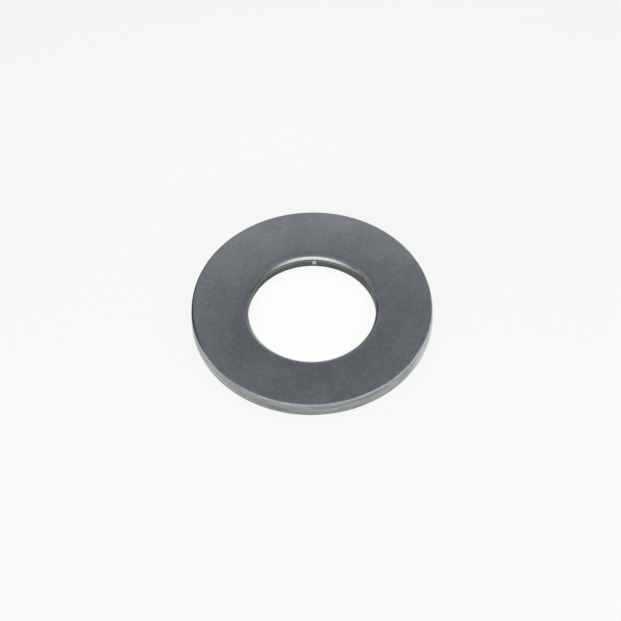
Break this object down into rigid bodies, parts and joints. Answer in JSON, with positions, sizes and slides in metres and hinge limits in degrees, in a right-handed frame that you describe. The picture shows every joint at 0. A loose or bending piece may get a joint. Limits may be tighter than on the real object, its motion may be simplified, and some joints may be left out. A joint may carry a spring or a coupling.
{
  "type": "flat washer",
  "caption": "Plain flat steel washer: a stamped ring that spreads the load of a bolt head or nut, with a rounded lip around its hole.",
  "frame": {"origin": "middle of the face that the washer rests on", "axes": "+Z along the washer's axis, from the resting face to the face with the rounded hole lip; X and Y lie in the resting face"},
  "size_m": [0.051, 0.051, 0.0036],
  "materials": {
    "satin_grey_steel": "plain satin grey steel as stamped: fine mill grain on the faces, bright burnished rim and hole lip"
  },
  "bodies": {
    "root": {"washer": "satin_grey_steel"}
  },
  "joints": []
}
